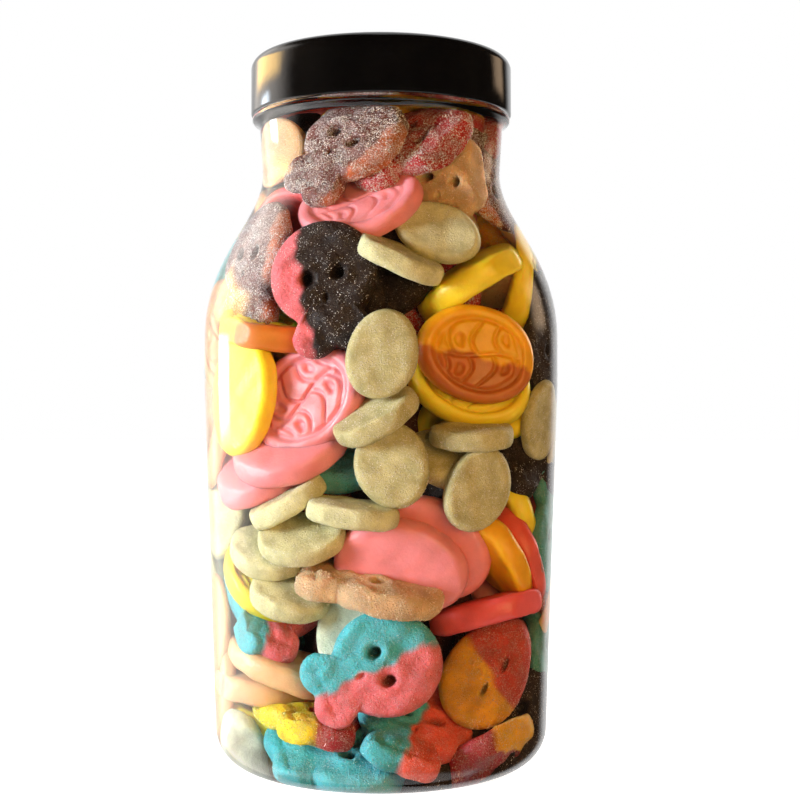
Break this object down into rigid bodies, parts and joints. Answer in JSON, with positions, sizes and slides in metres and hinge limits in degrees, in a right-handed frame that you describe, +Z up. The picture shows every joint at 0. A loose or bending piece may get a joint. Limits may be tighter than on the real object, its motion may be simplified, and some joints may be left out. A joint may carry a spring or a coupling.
{
  "type": "jar of candy",
  "caption": "Clear round plastic jar with a narrow neck and a black screw lid, filled to the lid with mixed soft sweets: embossed ovals, pale discs and skull shapes.",
  "frame": {"origin": "centre of the jar's foot, on the plane it stands on", "axes": "+Z up along the jar's axis, -Y towards the viewer of the picture, +X to that viewer's right"},
  "size_m": [0.126, 0.126, 0.25],
  "materials": {
    "clear_plastic": "clear moulded plastic, glossy, with a thin even wall",
    "black_plastic": "glossy black moulded plastic",
    "sweets": "soft matt foam and jelly in many colours, some coated with sugar"
  },
  "bodies": {
    "root": {"jar": "clear_plastic", "lid": "black_plastic", "candy_heap": "sweets"}
  },
  "joints": []
}
